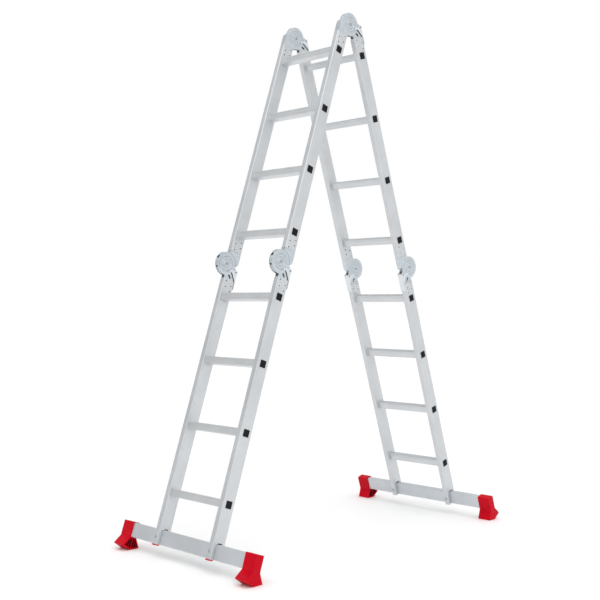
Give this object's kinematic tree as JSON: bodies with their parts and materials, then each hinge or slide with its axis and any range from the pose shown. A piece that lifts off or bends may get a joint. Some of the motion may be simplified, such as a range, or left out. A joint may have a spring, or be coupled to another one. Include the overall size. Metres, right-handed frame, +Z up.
{
  "type": "multi position ladder",
  "caption": "Folding aluminium ladder with locking hinges, ribbed rungs and wide stabiliser bars, set up as a free-standing trestle.",
  "frame": {"origin": "on the floor under the middle of the ladder, bottom centre of the bounding box", "axes": "+Z up, rungs along X, front leg leans towards -Y, rear leg towards +Y"},
  "size_m": [0.812, 1.6316, 2.2809],
  "materials": {
    "stile_aluminium": "mill-finish extruded aluminium, fine lines along the extrusion",
    "rung_aluminium": "extruded aluminium, ribbed tread",
    "bar_aluminium": "extruded aluminium",
    "hinge_steel": "bright zinc-plated pressed steel",
    "lever_steel": "bright zinc-plated steel",
    "rivet_steel": "zinc-plated steel",
    "spring_steel": "bright spring wire",
    "black_plastic": "black moulded plastic",
    "red_plastic": "bright red moulded plastic"
  },
  "bodies": {
    "front_upper": {"front_upper_right_stile": "stile_aluminium", "front_upper_left_stile": "stile_aluminium", "front_upper_rung_1": "rung_aluminium", "front_upper_rung_2": "rung_aluminium", "front_upper_rung_3": "rung_aluminium", "front_upper_rung_4": "rung_aluminium", "front_upper_rung_plugs": "black_plastic", "front_upper_rivets": "rivet_steel", "front_knee_toothed_plates": "hinge_steel", "top_hinge_toothed_plates": "hinge_steel"},
    "front_lower": {"front_lower_right_stile": "stile_aluminium", "front_lower_left_stile": "stile_aluminium", "front_lower_rung_1": "rung_aluminium", "front_lower_rung_2": "rung_aluminium", "front_lower_rung_3": "rung_aluminium", "front_lower_rung_4": "rung_aluminium", "front_lower_rung_plugs": "black_plastic", "front_lower_rivets": "rivet_steel", "front_knee_cheek_plates": "hinge_steel", "front_knee_lever_springs": "spring_steel", "front_stabiliser_bar": "bar_aluminium", "front_feet": "red_plastic", "front_toe_caps": "red_plastic"},
    "rear_upper": {"rear_upper_right_stile": "stile_aluminium", "rear_upper_left_stile": "stile_aluminium", "rear_upper_rung_1": "rung_aluminium", "rear_upper_rung_2": "rung_aluminium", "rear_upper_rung_3": "rung_aluminium", "rear_upper_rung_4": "rung_aluminium", "rear_upper_rung_plugs": "black_plastic", "rear_upper_rivets": "rivet_steel", "top_hinge_cheek_plates": "hinge_steel", "top_hinge_lever_springs": "spring_steel", "rear_knee_toothed_plates": "hinge_steel"},
    "rear_lower": {"rear_lower_right_stile": "stile_aluminium", "rear_lower_left_stile": "stile_aluminium", "rear_lower_rung_1": "rung_aluminium", "rear_lower_rung_2": "rung_aluminium", "rear_lower_rung_3": "rung_aluminium", "rear_lower_rung_4": "rung_aluminium", "rear_lower_rung_plugs": "black_plastic", "rear_lower_rivets": "rivet_steel", "rear_knee_cheek_plates": "hinge_steel", "rear_knee_lever_springs": "spring_steel", "rear_stabiliser_bar": "bar_aluminium", "rear_feet": "red_plastic", "rear_toe_caps": "red_plastic"},
    "front_knee_right_lever": {"front_knee_right_release_lever": "lever_steel", "front_knee_right_lock_pawl": "lever_steel"},
    "front_knee_left_lever": {"front_knee_left_release_lever": "lever_steel", "front_knee_left_lock_pawl": "lever_steel"},
    "top_hinge_right_lever": {"top_hinge_right_release_lever": "lever_steel", "top_hinge_right_lock_pawl": "lever_steel"},
    "top_hinge_left_lever": {"top_hinge_left_release_lever": "lever_steel", "top_hinge_left_lock_pawl": "lever_steel"},
    "rear_knee_right_lever": {"rear_knee_right_release_lever": "lever_steel", "rear_knee_right_lock_pawl": "lever_steel"},
    "rear_knee_left_lever": {"rear_knee_left_release_lever": "lever_steel", "rear_knee_left_lock_pawl": "lever_steel"}
  },
  "joints": [
    {"name": "top_hinge", "type": "hinge", "parent": "front_upper", "child": "rear_upper", "pos_m": [0, 0, 2.23088], "axis": [-1, 0, 0], "range_deg": [-143.04, 36.4]},
    {"name": "front_knee", "type": "hinge", "parent": "front_upper", "child": "front_lower", "pos_m": [0, -0.41761, 1.18955], "axis": [-1, 0, 0], "range_deg": [0, 180]},
    {"name": "rear_knee", "type": "hinge", "parent": "rear_upper", "child": "rear_lower", "pos_m": [0, 0.41761, 1.18955], "axis": [1, 0, 0], "range_deg": [0, 180]},
    {"name": "front_knee_right_release", "type": "hinge", "parent": "front_lower", "child": "front_knee_right_lever", "pos_m": [0.1645, -0.36894, 1.1522], "axis": [1, 0, 0], "range_deg": [0, 13], "stiffness_Nm_per_rad": 0.6, "springref_deg": -20.05},
    {"name": "front_knee_left_release", "type": "hinge", "parent": "front_lower", "child": "front_knee_left_lever", "pos_m": [-0.1645, -0.36894, 1.1522], "axis": [1, 0, 0], "range_deg": [0, 13], "stiffness_Nm_per_rad": 0.6, "springref_deg": -20.05},
    {"name": "top_hinge_right_release", "type": "hinge", "parent": "rear_upper", "child": "top_hinge_right_lever", "pos_m": [0.1645, 0.06135, 2.2303], "axis": [-1, 0, 0], "range_deg": [-13, 0], "stiffness_Nm_per_rad": 0.6, "springref_deg": 20.05},
    {"name": "top_hinge_left_release", "type": "hinge", "parent": "rear_upper", "child": "top_hinge_left_lever", "pos_m": [-0.1645, 0.06135, 2.2303], "axis": [-1, 0, 0], "range_deg": [-13, 0], "stiffness_Nm_per_rad": 0.6, "springref_deg": 20.05},
    {"name": "rear_knee_right_release", "type": "hinge", "parent": "rear_lower", "child": "rear_knee_right_lever", "pos_m": [0.1645, 0.36894, 1.1522], "axis": [-1, 0, 0], "range_deg": [0, 13], "stiffness_Nm_per_rad": 0.6, "springref_deg": -20.05},
    {"name": "rear_knee_left_release", "type": "hinge", "parent": "rear_lower", "child": "rear_knee_left_lever", "pos_m": [-0.1645, 0.36894, 1.1522], "axis": [-1, 0, 0], "range_deg": [0, 13], "stiffness_Nm_per_rad": 0.6, "springref_deg": -20.05}
  ]
}
